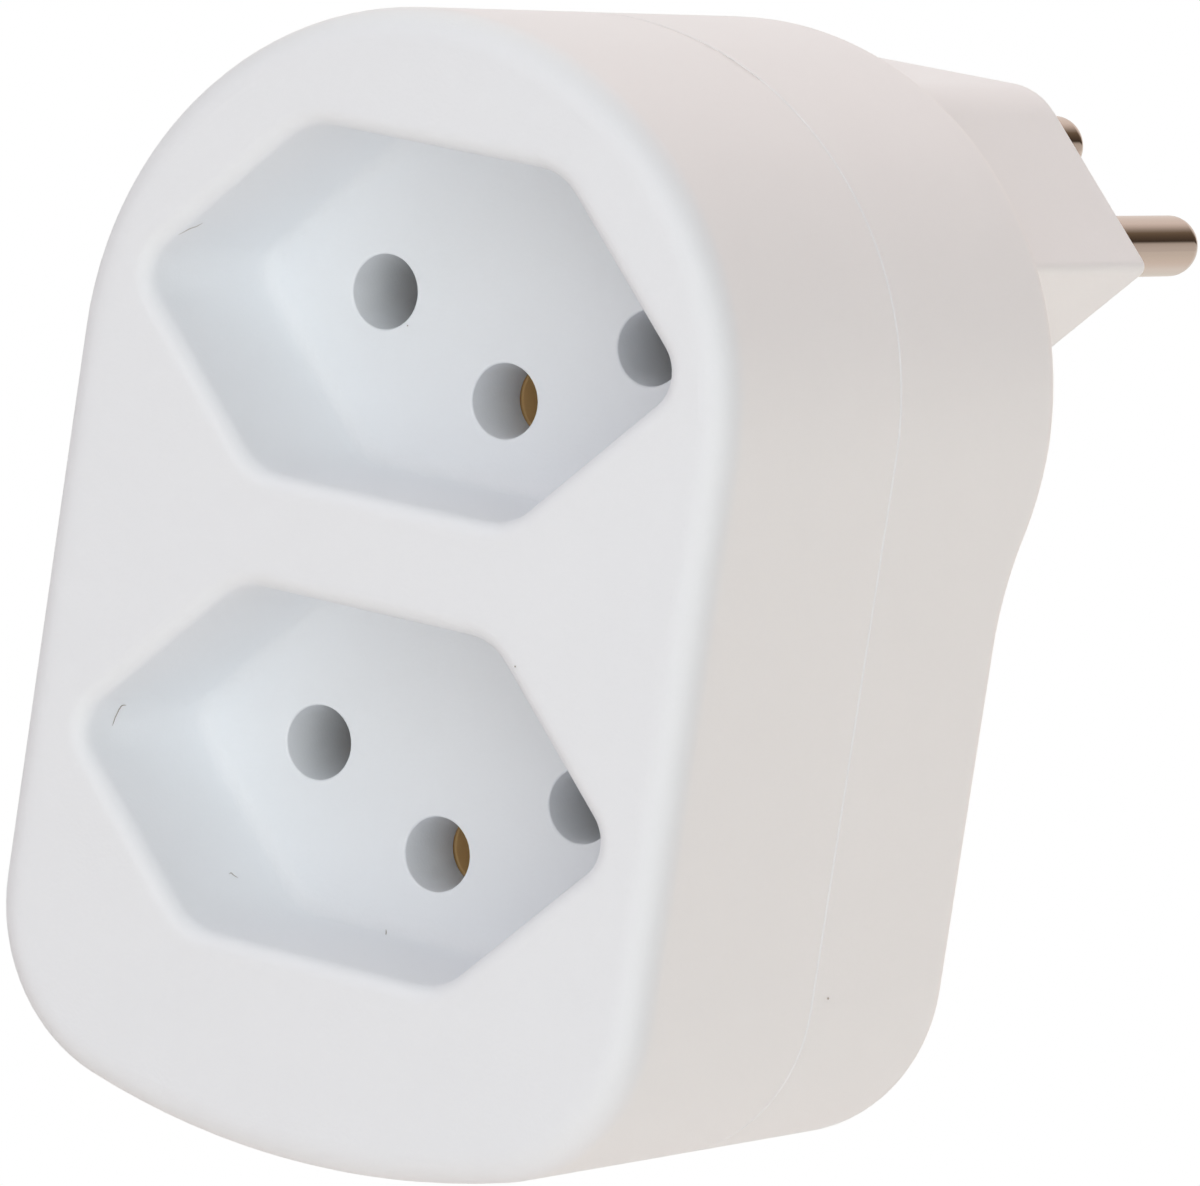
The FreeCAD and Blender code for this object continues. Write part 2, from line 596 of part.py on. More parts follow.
def place(body, x_text="0", y_text="0", z_text="0"):
    """Puts a finished body into the frame whose origin is the middle of the plug's end face."""
    body.setExpression("Placement.Base.x", x_text)
    body.setExpression("Placement.Base.y", f"{y_text} - Size.plugEnd")
    body.setExpression("Placement.Base.z", f"{z_text} - Size.plugRise")


def make_pin(name, x_text, z_text):
    """Turned pin: round tip, shank, seat in the end wall, collar behind it and riveted tail."""
    body = new_body(f"{name}_pin")
    profile = sketch(body, f"{name}_pin_profile", role="XY_Plane")
    tail_end = "-Size.endWall - Size.collarLength - Size.barThick - Size.tailHeadLength"
    tail_seat = "-Size.endWall - Size.collarLength - Size.barThick"
    corners = [("0", tail_end), ("Size.tailHeadRadius", tail_end), ("Size.tailHeadRadius", tail_seat),
               ("Size.tailRadius", tail_seat), ("Size.tailRadius", "-Size.endWall - Size.collarLength"),
               ("Size.collarRadius", "-Size.endWall - Size.collarLength"),
               ("Size.collarRadius", "-Size.endWall"), ("Size.pinSeatRadius", "-Size.endWall"),
               ("Size.pinSeatRadius", "Size.pinSeatProud"), ("Size.pinRadius", "Size.pinSeatProud"),
               ("Size.pinRadius", "Size.pinLength"), ("0", "Size.pinLength")]
    square_profile(profile, corners, {1: "Size.tailHeadLength * 0.6", 10: "Size.pinTipRound"})
    revolve(body, profile, f"{name}_pin_turn")
    place(body, x_text, "Size.plugEnd", z_text)
    return body


def make_busbar(name, x_text, pin_z, low_z, tongue_side):
    """Stamped strip behind one column of contacts, with a tongue bent into the plug.

    The strip stands upright, the tongue runs back below or above its pin, and the foot turns up
    to the pin's tail.
    """
    body = new_body(f"{name}_busbar")
    under = f"{pin_z} - Size.tongueOffset - Size.barThick"
    strip = sketch(body, f"{name}_strip", role="YZ_Plane")
    rectangle(strip, BAR_FRONT, BAR_BACK, f"{low_z} - Size.barEnd", f"{under} - Size.barBend")
    pad_across(body, strip, f"{name}_strip_pad", "Size.barWidth")
    tongue = sketch(body, f"{name}_tongue", role="YZ_Plane")
    top = f"{under} + Size.barThick"
    corners = [(BAR_FRONT, f"{under} - Size.barBend * 2"), (BAR_BACK, f"{under} - Size.barBend * 2"),
               (BAR_BACK, under), (COLLAR_BACK, under), (COLLAR_BACK, f"{pin_z} + Size.footReach"),
               (FOOT_FRONT, f"{pin_z} + Size.footReach"), (FOOT_FRONT, top), (BAR_FRONT, top)]
    outside = "Size.barBend + Size.barThick"
    square_profile(tongue, corners, {2: "Size.barBend", 3: outside, 6: "Size.barBend", 7: outside})
    pad_across(body, tongue, f"{name}_tongue_pad", "Size.tongueWidth")
    rivets = sketch(body, f"{name}_rivet_holes", depth=BAR_FRONT)
    for level in socket_levels().values():
        circle(rivets, "0", f"{level} - {tongue_side}", "Size.rivetRadius + Size.rivetPlay")
    extrude(body, "Pocket", rivets, f"{name}_rivet_cut", "Size.barThick + Size.barBend / 2")
    tail = sketch(body, f"{name}_tail_hole", depth=FOOT_FRONT)
    circle(tail, "0", pin_z, "Size.tailRadius + Size.rivetPlay")
    extrude(body, "Pocket", tail, f"{name}_tail_cut", "Size.barThick + 1")
    place(body, x_text)
    return body


def make_contact(name, mouth, x_text, z_text):
    """Spring contact: a drawn cup with a flared mouth, slotted so that two leaves grip the pin."""
    body = new_body(f"{name}_contact")
    length = f"({BAR_FRONT} - {mouth} - Size.mouthGap)"
    profile = sketch(body, f"{name}_contact_profile", role="XY_Plane")
    outer = "Size.contactBore + Size.contactSheet"
    flare_start = f"Size.mouthLength - {length}"
    corners = [("Size.rivetRadius + Size.rivetPlay", "0"), (outer, "0"), (outer, flare_start),
               (f"{outer} + Size.mouthFlare", f"-{length}"),
               ("Size.contactBore + Size.mouthFlare", f"-{length}"),
               ("Size.contactBore", flare_start), ("Size.contactBore", "-Size.contactSheet"),
               ("Size.rivetRadius + Size.rivetPlay", "-Size.contactSheet")]
    square_profile(profile, corners, {1: "Size.contactSheet"})
    revolve(body, profile, f"{name}_contact_turn")
    mouth_depth = -number(length)
    soften(body, "Fillet", f"{name}_mouth_round", "Size.contactSheet * 0.3",
           lambda edge: lies_at(edge, mouth_depth))
    slot = sketch(body, f"{name}_contact_slot", depth=f"-{length}")
    reach = f"{outer} + Size.mouthFlare + 1"
    rectangle(slot, "-Size.contactSlot / 2", "Size.contactSlot / 2", f"-({reach})", reach)
    extrude(body, "Pocket", slot, f"{name}_contact_slit", f"{length} - Size.contactRoot")
    place(body, x_text, BAR_FRONT, z_text)
    return body


def make_rivet(name, x_text, z_text):
    """Rivet that clamps a contact's base to its busbar, head inside the cup."""
    body = new_body(f"{name}_rivet")
    head = "-Size.contactSheet - Size.rivetHeadLength"
    profile = sketch(body, f"{name}_rivet_profile", role="XY_Plane")
    corners = [("0", head), ("Size.rivetHeadRadius", head), ("Size.rivetHeadRadius", "-Size.contactSheet"),
               ("Size.rivetRadius", "-Size.contactSheet"), ("Size.rivetRadius", "Size.barThick"),
               ("Size.rivetTailRadius", "Size.barThick"),
               ("Size.rivetTailRadius", "Size.barThick + Size.rivetTailLength"),
               ("0", "Size.barThick + Size.rivetTailLength")]
    square_profile(profile, corners, {1: "Size.rivetHeadLength * 0.6", 6: "Size.rivetTailLength * 0.6"})
    revolve(body, profile, f"{name}_rivet_turn")
    place(body, x_text, BAR_FRONT, z_text)
    return body


def make_pin_carrier():
    """Moulded block inside the plug that presses the busbar feet and pins against the end wall."""
    body = new_body("pin_carrier")
    block = sketch(body, "carrier_outline", depth=FOOT_FRONT)
    inset = "(Size.plugWall + Size.fitGap)"
    hexagon(block, "Size.plugRise", f"Size.plugHalfHeight - {inset}", f"Size.plugSlantReach - {inset}",
            f"Size.plugCorner - {inset}", "Size.plugPoint")
    extrude(body, "Pad", block, "carrier_block", "Size.carrierLength", "-Y")
    wells = sketch(body, "tail_wells", depth=FOOT_FRONT)
    for x_text, z_text in plug_pins().values():
        circle(wells, x_text, z_text, "Size.tailHeadRadius + Size.fitGap")
    extrude(body, "Pocket", wells, "tail_wells_cut", "Size.tailHeadLength + Size.fitGap", "-Y")
    slots = sketch(body, "tongue_slots", depth=f"{FOOT_FRONT} + 1")
    for x_text, z_text in plug_pins().values():
        rectangle(slots, f"{x_text} - Size.tongueWidth / 2 - Size.fitGap",
                  f"{x_text} + Size.tongueWidth / 2 + Size.fitGap",
                  "Size.plugRise - Size.plugHalfHeight", f"{z_text} - Size.tongueOffset + Size.barBend")
    extrude(body, "Pocket", slots, "tongue_slots_cut", "Size.carrierLength + 2", "-Y")
    place(body)
    return body


def make_screw(name, side):
    """Pan-head screw with a cross recess, its head at the bottom of the well in the back."""
    body = new_body(f"{name}_housing_screw")
    profile = sketch(body, f"{name}_screw_profile", role="XY_Plane")
    corners = [("0", "-Size.screwLength"), ("Size.screwRadius", "-Size.screwLength"),
               ("Size.screwRadius", "0"), ("Size.headRadius", "0"), ("Size.headRadius", "Size.headHeight"),
               ("0", "Size.headHeight")]
    square_profile(profile, corners, {1: "Size.screwRadius * 0.7", 4: "Size.headHeight * 0.6"})
    revolve(body, profile, f"{name}_screw_turn")
    for label, wide, high in (("level", "Size.crossReach", "Size.crossWidth / 2"),
                              ("upright", "Size.crossWidth / 2", "Size.crossReach")):
        cross = sketch(body, f"{name}_{label}_slot", depth="Size.headHeight")
        rectangle(cross, f"-{wide}", wide, f"-{high}", high)
        extrude(body, "Pocket", cross, f"{name}_{label}_cut", "Size.crossDepth", "-Y")
    place(body, f"{side}{SCREW_X}", SCREW_SEAT, "-Size.screwDrop")
    return body


def make_all():
    pieces = []
    for body in (make_front_cover(), make_rear_housing(), make_pin_carrier()):
        place(body)
        pieces.append(body)
    columns = {"line": (f"-{LIVE_X}", "0"), "neutral": (LIVE_X, "0"), "earth": ("0", "Size.earthOffset")}
    for name, (x_text, drop) in columns.items():
        pin_x, pin_z = plug_pins()[name]
        pieces.append(make_pin(name, pin_x, pin_z))
        pieces.append(make_busbar(name, x_text, pin_z, f"-Size.socketPitch - {drop}", drop))
        mouth = EARTH_END if name == "earth" else LIVE_END
        for level, level_z in socket_levels().items():
            spot = f"{level_z} - {drop}"
            pieces.append(make_contact(f"{level}_{name}", mouth, x_text, spot))
            pieces.append(make_rivet(f"{level}_{name}", x_text, spot))
    pieces.append(make_screw("left", "-"))
    pieces.append(make_screw("right", ""))
    return pieces


def check_and_write(pieces):
    doc.recompute()
    for item in doc.Objects:
        if "Invalid" in item.State or "Error" in item.State:
            raise RuntimeError(f"{item.Name} is {item.State}")
    os.makedirs("parts", exist_ok=True)
    for body in pieces:
        shape = body.Shape
        if shape.isNull() or not shape.isValid() or len(shape.Solids) != 1:
            raise RuntimeError(f"{body.Label}: null, invalid or not one solid ({len(shape.Solids)})")
        shape.exportStep(f"parts/{body.Label}.step")
        box = shape.BoundBox
        print(f"{body.Label:24s} {shape.Volume:9.1f} mm3  X {box.XMin:7.2f} {box.XMax:7.2f}  "
              f"Y {box.YMin:7.2f} {box.YMax:7.2f}  Z {box.ZMin:7.2f} {box.ZMax:7.2f}")


check_and_write(make_all())
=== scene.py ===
"""Looks of a plug-in mains adapter: a hexagonal three-pin plug behind, two recessed sockets in front.

Everything is in metres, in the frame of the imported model: the sockets face -Y, the plug points
along +Y and +Z is up. The origin is the middle of the plug's end face.
"""
import math

import bpy
import numpy as np
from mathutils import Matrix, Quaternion, Vector


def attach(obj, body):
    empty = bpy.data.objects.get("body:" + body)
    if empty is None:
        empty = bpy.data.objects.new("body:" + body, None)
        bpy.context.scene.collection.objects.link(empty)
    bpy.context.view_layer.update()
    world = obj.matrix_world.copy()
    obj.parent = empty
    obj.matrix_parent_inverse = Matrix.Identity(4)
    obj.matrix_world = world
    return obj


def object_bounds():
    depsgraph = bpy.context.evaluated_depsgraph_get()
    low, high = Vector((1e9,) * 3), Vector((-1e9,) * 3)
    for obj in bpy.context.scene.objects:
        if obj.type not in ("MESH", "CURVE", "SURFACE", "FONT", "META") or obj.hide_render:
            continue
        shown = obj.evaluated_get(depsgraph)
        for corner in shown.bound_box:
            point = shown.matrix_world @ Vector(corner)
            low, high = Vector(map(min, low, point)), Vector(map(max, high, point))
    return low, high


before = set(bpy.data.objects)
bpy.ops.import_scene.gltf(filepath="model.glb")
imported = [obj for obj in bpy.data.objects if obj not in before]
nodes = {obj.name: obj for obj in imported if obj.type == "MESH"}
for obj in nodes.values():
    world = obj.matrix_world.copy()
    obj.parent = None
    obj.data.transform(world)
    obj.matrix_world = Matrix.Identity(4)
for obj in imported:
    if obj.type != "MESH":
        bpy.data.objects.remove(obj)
cad_box = [list(corner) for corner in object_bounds()]
MM = 0.001


# The camera stands to the right of the front and a little above it, far off behind a long lens.
# It is turned on its axis, so that the adapter leans to the right.
TARGET = Vector((-1.8, -30.0, -23.65)) * MM
AZIMUTH, ELEVATION, ROLL = math.radians(30.0), math.radians(7.52), math.radians(8.57)
DISTANCE, NEAREST = 591.3 * MM, 20 * MM
LENS, SENSOR_WIDTH = 285.0, 36.0

towards_camera = Vector((math.sin(AZIMUTH) * math.cos(ELEVATION), -math.cos(AZIMUTH) * math.cos(ELEVATION),
                         math.sin(ELEVATION)))
camera = bpy.data.objects.new("camera", bpy.data.cameras.new("camera"))
bpy.context.scene.collection.objects.link(camera)
camera.data.lens = LENS
camera.data.sensor_width = SENSOR_WIDTH
camera.data.clip_start = NEAREST
camera.location = TARGET + towards_camera * DISTANCE
camera.rotation_mode = "QUATERNION"
camera.rotation_quaternion = (-towards_camera).to_track_quat("-Z", "Y") @ Quaternion((0, 0, 1), ROLL)
bpy.context.scene.camera = camera
bpy.context.scene.view_settings.view_transform = "Standard"


def linear(colour):
    """Linear colour of an sRGB hex value, each channel by the sRGB curve."""
    channels = np.array([int(colour[place:place + 2], 16) for place in (1, 3, 5)]) / 255
    curved = np.where(channels <= 0.04045, channels / 12.92, ((channels + 0.055) / 1.055) ** 2.4)
    return (*curved.tolist(), 1.0)


def add_node(tree, kind, settings=None, **links):
    """Adds a node, sets its properties and sockets, and links its sockets to others.

    A setting named as a property sets the property. Any other one sets the socket with that name, or
    at that place where it is a number. In the name of a link, underscores stand for spaces, and i0,
    i1 and so on are sockets by place.
    """
    made = tree.nodes.new(kind)
    for name, value in (settings or {}).items():
        if not isinstance(name, int) and hasattr(made, name):
            setattr(made, name, value)
        else:
            made.inputs[name].default_value = value
    for name, source in links.items():
        place = int(name[1:]) if name[0] == "i" and name[1:].isdigit() else name.replace("_", " ")
        tree.links.new(source, made.inputs[place])
    return made


# The room is white to the camera, and gives matt surfaces a little even warm light. What shines sees a
# bright room with a dark card high on the right, which draws the stripe on the pins. The ramp runs
# round the pins' axis, from the left horizon over the floor, the right and the ceiling.
ROOM, ROOM_STRENGTH, BAND_STRENGTH = "#FFF3EE", 0.13, 0.85
BAND = ((0.0, "#F9EFE8"), (0.15, "#F1EDE6"), (0.25, "#F7F2EE"), (0.34, "#EEE3DC"), (0.41, "#E6DDD5"),
        (0.51, "#D2C9C3"), (0.552, "#C4BAB2"), (0.575, "#453A32"), (0.64, "#67584A"), (0.672, "#796958"),
        (0.708, "#AB9E95"), (0.746, "#D6C8C0"), (0.79, "#F0E2DC"), (1.0, "#F9EFE8"))
world = bpy.data.worlds.new("studio")
bpy.context.scene.world = world
world.use_nodes = True
tree = world.node_tree
tree.nodes.clear()
path = add_node(tree, "ShaderNodeLightPath")
direction = add_node(tree, "ShaderNodeTexCoord")
axes = add_node(tree, "ShaderNodeSeparateXYZ", Vector=direction.outputs["Generated"])
angle = add_node(tree, "ShaderNodeMath", {"operation": "ARCTAN2"}, i0=axes.outputs["Z"],
                 i1=axes.outputs["X"])
turn = add_node(tree, "ShaderNodeMapRange", {"From Min": -math.pi, "From Max": math.pi},
                Value=angle.outputs[0])
band = add_node(tree, "ShaderNodeValToRGB", Fac=turn.outputs[0])
for place, shade in BAND[2:]:
    band.color_ramp.elements.new(place)
for element, (place, shade) in zip(band.color_ramp.elements, BAND):
    element.position = place
    element.color = linear(shade)
light = add_node(tree, "ShaderNodeBackground", {"Color": linear(ROOM), "Strength": ROOM_STRENGTH})
shine = add_node(tree, "ShaderNodeBackground", {"Strength": BAND_STRENGTH}, Color=band.outputs["Color"])
white = add_node(tree, "ShaderNodeBackground", {"Color": (1, 1, 1, 1), "Strength": 1.0})
seen = add_node(tree, "ShaderNodeMixShader", i0=path.outputs["Is Glossy Ray"], i1=light.outputs[0],
                i2=shine.outputs[0])
both = add_node(tree, "ShaderNodeMixShader", i0=path.outputs["Is Camera Ray"], i1=seen.outputs[0],
                i2=white.outputs[0])
add_node(tree, "ShaderNodeOutputWorld", Surface=both.outputs[0])


# Soft boxes, each at a place in millimetres from the adapter's middle and turned towards it: two large
# ones light the front and one the left of the crown. Warm ones from behind, above and below light the
# crown, the plug and the back, and a cool one the left of the back. These don't show in what shines.
def soft_box(name, place, size, power, colour, shows=False):
    """Square lamp with its side in millimetres and its power in watts."""
    lamp = bpy.data.lights.new(name, "AREA")
    lamp.size = size * MM
    lamp.energy = power
    lamp.color = linear(colour)[:3]
    box = bpy.data.objects.new(name, lamp)
    bpy.context.scene.collection.objects.link(box)
    box.location = TARGET + Vector(place) * MM
    box.rotation_mode = "QUATERNION"
    box.rotation_quaternion = (-Vector(place)).to_track_quat("-Z", "Y")
    box.visible_glossy = shows


soft_box("front_right_box", (550, -800, 120), 1200, 7.4, "#FCFFFF", shows=True)
soft_box("high_left_box", (-500, -500, 650), 900, 3.0, "#FDF7FF", shows=True)
soft_box("top_left_box", (-500, 100, 800), 800, 1.8, "#F1FDEC", shows=True)
soft_box("top_back_box", (100, 700, 700), 900, 5.9, "#FFE8E1")
soft_box("low_back_box", (300, 700, -200), 500, 2.8, "#FFF2DE")
soft_box("left_back_box", (-750, 600, 60), 1000, 2.3, "#E4ECFF")


# The floor lies well below, because the adapter hangs in a wall socket. It is matt white card. To the
# camera it is nearly white near the adapter, where it keeps a shadow, and white at its rim. What shines
# looks through it into the room, and from below it can't be seen.
FLOOR_DROP, FLOOR_RADIUS, FLOOR_CORNERS = 260 * MM, 1200 * MM, 64
FLOOR_WHITE, WHITER_FROM, LEAST_WHITE = "#F4F1EE", 200 * MM, 0.8
spread = np.linspace(0, 2 * math.pi, FLOOR_CORNERS + 1)[:-1]
rim = np.stack([np.cos(spread), np.sin(spread), np.zeros(FLOOR_CORNERS)], axis=1) * FLOOR_RADIUS
rim[:, 2] = cad_box[0][2] - FLOOR_DROP
floor_mesh = bpy.data.meshes.new("floor")
floor_mesh.from_pydata(rim.tolist(), [], [list(range(FLOOR_CORNERS))])
floor = bpy.data.objects.new("floor", floor_mesh)
bpy.context.scene.collection.objects.link(floor)
card = bpy.data.materials.new("matt_white_card")
card.use_nodes = True
tree = card.node_tree
tree.nodes.clear()
path = add_node(tree, "ShaderNodeLightPath")
place = add_node(tree, "ShaderNodeTexCoord")
distance = add_node(tree, "ShaderNodeVectorMath", {"operation": "LENGTH"}, i0=place.outputs["Object"])
white_share = add_node(tree, "ShaderNodeMapRange",
                       {"From Min": WHITER_FROM, "From Max": FLOOR_RADIUS, "To Min": LEAST_WHITE},
                       Value=distance.outputs["Value"])
camera_share = add_node(tree, "ShaderNodeMath", {"operation": "MULTIPLY"}, i0=path.outputs["Is Camera Ray"],
                        i1=white_share.outputs[0])
paper = add_node(tree, "ShaderNodeBsdfDiffuse", {"Color": linear(FLOOR_WHITE)})
glow = add_node(tree, "ShaderNodeEmission", {"Color": (1, 1, 1, 1), "Strength": 1.0})
clear = add_node(tree, "ShaderNodeBsdfTransparent")
shown = add_node(tree, "ShaderNodeMixShader", i0=camera_share.outputs[0], i1=paper.outputs[0],
                 i2=glow.outputs[0])
below = add_node(tree, "ShaderNodeNewGeometry")
unseen = add_node(tree, "ShaderNodeMath", {"operation": "MAXIMUM"}, i0=path.outputs["Is Glossy Ray"],
                  i1=below.outputs["Backfacing"])
mix = add_node(tree, "ShaderNodeMixShader", i0=unseen.outputs[0], i1=shown.outputs[0], i2=clear.outputs[0])
add_node(tree, "ShaderNodeOutputMaterial", Surface=mix.outputs[0])
floor_mesh.materials.append(card)


def new_material(name):
    """Empty material with its tree and the Object coordinates that every pattern here reads."""
    made = bpy.data.materials.new(name)
    made.use_nodes = True
    made.node_tree.nodes.clear()
    place = add_node(made.node_tree, "ShaderNodeTexCoord").outputs["Object"]
    return made, made.node_tree, place


def wear(material, names):
    """Gives the material to CAD nodes, in place of what they came with."""
    for name in names:
        slots = nodes[name].data.materials
        slots.clear()
        slots.append(material)


# Front shell and rear shell: white ABS, injection moulded in a spark-eroded tool. The eye sees a satin
# skin with a very fine grain. The real grain of about 0.1 mm is too fine to show here, so it is drawn
# twice as coarse.
ABS_WHITE, ABS_SHADE = "#F3F6F9", "#F1F4F7"
GRAIN_MM, GRAIN_HEIGHT_MM, MOTTLE_MM = 0.22, 0.03, 9.0
abs_plastic, tree, place = new_material("moulded_white_abs")
mottle = add_node(tree, "ShaderNodeTexNoise", {"Scale": 1 / (MOTTLE_MM * MM), "Detail": 3.0}, Vector=place)
tint = add_node(tree, "ShaderNodeMix", {"data_type": "RGBA", 6: linear(ABS_WHITE), 7: linear(ABS_SHADE)},
                i0=mottle.outputs["Fac"])
grain = add_node(tree, "ShaderNodeTexNoise", {"Scale": 1 / (GRAIN_MM * MM), "Detail": 2.0}, Vector=place)
bump = add_node(tree, "ShaderNodeBump", {"Strength": 0.5, "Distance": GRAIN_HEIGHT_MM * MM},
                Height=grain.outputs["Fac"])
skin = add_node(tree, "ShaderNodeBsdfPrincipled", {"Roughness": 0.5, "IOR": 1.5},
                Base_Color=tint.outputs[2], Normal=bump.outputs["Normal"])
add_node(tree, "ShaderNodeOutputMaterial", Surface=skin.outputs[0])
wear(abs_plastic, ["rear_housing"])


# In the front shell, light that wanders under the skin softens the corners between the floors and the
# walls of the recesses. There the shading is rounded over 1.3 mm. The reach of a point is 0 at a
# socket's middle and 1 at the floor's edge: its height over the floor's half height, or its distance
# towards a slanting side over that side's own, whichever is more.
SOCKET_Z, SOCKET_PITCH = -5.8 * MM, 28.0 * MM
FLOOR_HALF_HEIGHT, FLOOR_SLANT_REACH, FLOOR_SLANT = 10.4 * MM, 13.6 * MM, math.radians(45.9)
SOFT_RADIUS, SHARP_UNTIL, SOFT_FROM, WALLS_END = 1.3 * MM, 0.76, 0.86, 1.12
RIM_Y, SOFT_FROM_Y = -60.6 * MM, -59.0 * MM
recessed_abs = abs_plastic.copy()
recessed_abs.name = "moulded_white_abs_recessed"
tree = recessed_abs.node_tree
axes = add_node(tree, "ShaderNodeSeparateXYZ", Vector=tree.nodes["Texture Coordinate"].outputs["Object"])
height = add_node(tree, "ShaderNodeMath", {"operation": "SUBTRACT", 1: SOCKET_Z}, i0=axes.outputs["Z"])
rise = add_node(tree, "ShaderNodeMath", {"operation": "PINGPONG", 1: SOCKET_PITCH / 2}, i0=height.outputs[0])
wide = add_node(tree, "ShaderNodeMath", {"operation": "ABSOLUTE"}, i0=axes.outputs["X"])
upward = add_node(tree, "ShaderNodeMath",
                  {"operation": "MULTIPLY", 1: math.cos(FLOOR_SLANT) / FLOOR_SLANT_REACH}, i0=rise.outputs[0])
slant = add_node(tree, "ShaderNodeMath",
                 {"operation": "MULTIPLY_ADD", 1: math.sin(FLOOR_SLANT) / FLOOR_SLANT_REACH},
                 i0=wide.outputs[0], i2=upward.outputs[0])
level = add_node(tree, "ShaderNodeMath", {"operation": "DIVIDE", 1: FLOOR_HALF_HEIGHT}, i0=rise.outputs[0])
reach = add_node(tree, "ShaderNodeMath", {"operation": "MAXIMUM"}, i0=slant.outputs[0], i1=level.outputs[0])
near_wall = add_node(tree, "ShaderNodeMapRange",
                     {"interpolation_type": "SMOOTHSTEP", "From Min": SHARP_UNTIL, "From Max": SOFT_FROM,
                      "To Max": SOFT_RADIUS}, Value=reach.outputs[0])
within = add_node(tree, "ShaderNodeMath", {"operation": "LESS_THAN", 1: WALLS_END}, i0=reach.outputs[0])
deep = add_node(tree, "ShaderNodeMapRange",
                {"interpolation_type": "SMOOTHSTEP", "From Min": RIM_Y, "From Max": SOFT_FROM_Y},
                Value=axes.outputs["Y"])
inside = add_node(tree, "ShaderNodeMath", {"operation": "MULTIPLY"}, i0=near_wall.outputs[0],
                  i1=within.outputs[0])
radius = add_node(tree, "ShaderNodeMath", {"operation": "MULTIPLY"}, i0=inside.outputs[0],
                  i1=deep.outputs[0])
rounded = add_node(tree, "ShaderNodeBevel", {"samples": 3}, Radius=radius.outputs[0])
tree.links.new(rounded.outputs["Normal"], tree.nodes["Bump"].inputs["Normal"])
wear(recessed_abs, ["front_cover"])


# Block behind the plug's end wall: natural polyamide, moulded, a little yellow and duller.
POLYAMIDE, POLYAMIDE_SHADE, CLOUD_MM = "#DCD8C8", "#D2CDBA", 4.0
polyamide, tree, place = new_material("moulded_natural_polyamide")
cloud = add_node(tree, "ShaderNodeTexNoise", {"Scale": 1 / (CLOUD_MM * MM), "Detail": 3.0}, Vector=place)
tint = add_node(tree, "ShaderNodeMix",
                {"data_type": "RGBA", 6: linear(POLYAMIDE), 7: linear(POLYAMIDE_SHADE)},
                i0=cloud.outputs["Fac"])
skin = add_node(tree, "ShaderNodeBsdfPrincipled", {"Roughness": 0.5, "IOR": 1.53}, Base_Color=tint.outputs[2])
add_node(tree, "ShaderNodeOutputMaterial", Surface=skin.outputs[0])
wear(polyamide, ["pin_carrier"])


# Plug pins: turned brass with bright nickel plating. The plating keeps a trace of the turning marks,
# and the reflections in it are soft and a little warm.
NICKEL, TURNING_MM, TURNING_HEIGHT_MM, BLUSH_MM = "#E2D4C8", 0.12, 0.004, 2.5
nickel, tree, place = new_material("nickel_plated_turned_brass")
turning = add_node(tree, "ShaderNodeMapping", {"Scale": (0.0, 1.0, 0.0)}, Vector=place)
rings = add_node(tree, "ShaderNodeTexNoise", {"Scale": 1 / (TURNING_MM * MM), "Detail": 2.0},
                 Vector=turning.outputs[0])
bump = add_node(tree, "ShaderNodeBump", {"Strength": 0.15, "Distance": TURNING_HEIGHT_MM * MM},
                Height=rings.outputs["Fac"])
blush = add_node(tree, "ShaderNodeTexNoise", {"Scale": 1 / (BLUSH_MM * MM), "Detail": 2.0}, Vector=place)
rough = add_node(tree, "ShaderNodeMapRange", {"To Min": 0.08, "To Max": 0.13}, Value=blush.outputs["Fac"])
skin = add_node(tree, "ShaderNodeBsdfPrincipled", {"Metallic": 1.0, "Base Color": linear(NICKEL)},
                Roughness=rough.outputs[0], Normal=bump.outputs["Normal"])
add_node(tree, "ShaderNodeOutputMaterial", Surface=skin.outputs[0])
wear(nickel, ["line_pin", "neutral_pin", "earth_pin"])


# Contacts, strips and rivets: bare brass, drawn or stamped, with the dull gold of metal that has been
# handled and has aged a little. It is less metallic than new brass, because the little light that
# reaches it down the earth holes shows a full gold.
BRASS, BRASS_AGED, AGEING_MM = "#FFDEA0", "#F8CB8A", 1.6
brass, tree, place = new_material("stamped_brass")
age = add_node(tree, "ShaderNodeTexNoise", {"Scale": 1 / (AGEING_MM * MM), "Detail": 4.0}, Vector=place)
tint = add_node(tree, "ShaderNodeMix", {"data_type": "RGBA", 6: linear(BRASS), 7: linear(BRASS_AGED)},
                i0=age.outputs["Fac"])
rough = add_node(tree, "ShaderNodeMapRange", {"To Min": 0.62, "To Max": 0.78}, Value=age.outputs["Fac"])
skin = add_node(tree, "ShaderNodeBsdfPrincipled", {"Metallic": 0.35}, Base_Color=tint.outputs[2],
                Roughness=rough.outputs[0])
add_node(tree, "ShaderNodeOutputMaterial", Surface=skin.outputs[0])
wear(brass, [name for name in nodes if name.endswith(("_contact", "_busbar", "_rivet"))])


# Housing screws: steel, zinc plated, with a faint blue-grey bloom.
ZINC, ZINC_BLOOM, BLOOM_MM = "#C4C6C8", "#A4A8AC", 0.8
zinc, tree, place = new_material("zinc_plated_steel")
bloom = add_node(tree, "ShaderNodeTexNoise", {"Scale": 1 / (BLOOM_MM * MM), "Detail": 4.0}, Vector=place)
tint = add_node(tree, "ShaderNodeMix", {"data_type": "RGBA", 6: linear(ZINC), 7: linear(ZINC_BLOOM)},
                i0=bloom.outputs["Fac"])
rough = add_node(tree, "ShaderNodeMapRange", {"To Min": 0.28, "To Max": 0.45}, Value=bloom.outputs["Fac"])
skin = add_node(tree, "ShaderNodeBsdfPrincipled", {"Metallic": 1.0}, Base_Color=tint.outputs[2],
                Roughness=rough.outputs[0])
add_node(tree, "ShaderNodeOutputMaterial", Surface=skin.outputs[0])
wear(zinc, ["left_housing_screw", "right_housing_screw"])


